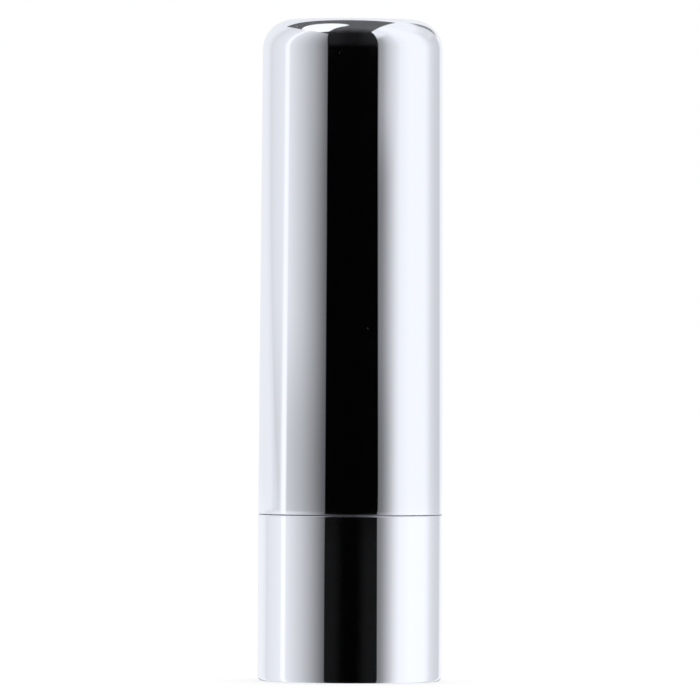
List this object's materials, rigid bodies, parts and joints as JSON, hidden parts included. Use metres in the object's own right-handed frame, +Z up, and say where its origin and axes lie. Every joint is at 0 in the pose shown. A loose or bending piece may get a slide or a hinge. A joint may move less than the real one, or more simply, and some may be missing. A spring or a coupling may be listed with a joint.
{
  "type": "lipstick case",
  "caption": "Closed round twist-up lipstick case in bright mirror finish: a tall cap with a rounded top edge over a short straight base, with the spiral mechanism and lip colour inside.",
  "frame": {"origin": "centre of the foot, on the surface the case stands on", "axes": "+Z up along the case's own axis, from the foot to the cap's top; the mechanism's two lugs lie along X"},
  "size_m": [0.019, 0.019, 0.068],
  "materials": {
    "mirror_shell": "polished",
    "label_paper": "matte",
    "weight_steel": "satin",
    "insert_plastic": "satin",
    "tube_plastic": "satin",
    "ring_rubber": "matte",
    "sleeve_aluminium": "gloss",
    "cup_plastic": "satin",
    "lip_colour": "satin",
    "liner_plastic": "satin"
  },
  "bodies": {
    "base": {"base_shell": "mirror_shell", "shade_label": "label_paper", "base_weight": "weight_steel", "base_insert": "insert_plastic", "slotted_tube": "tube_plastic", "friction_ring": "ring_rubber"},
    "sleeve": {"spiral_sleeve": "tube_plastic", "outer_sleeve": "sleeve_aluminium"},
    "carrier": {"cup": "cup_plastic", "lipstick_bullet": "lip_colour"},
    "cap": {"cap_shell": "mirror_shell", "cap_liner": "liner_plastic"}
  },
  "joints": [
    {"name": "sleeve_twist", "type": "hinge", "parent": "base", "child": "sleeve", "pos_m": [0, 0, 0.0262], "axis": [0, 0, -1], "range_deg": [0, 432]},
    {"name": "cup_rise", "type": "slide", "parent": "base", "child": "carrier", "axis": [0, 0, 1], "range_m": [0, 0.0216]},
    {"name": "cap_pull", "type": "slide", "parent": "base", "child": "cap", "axis": [0, 0, 1], "range_m": [0, 0.056]}
  ],
  "couplings": [
    {"joint": "cup_rise", "follows": "sleeve_twist", "m_per_rad": 0.0028647}
  ]
}
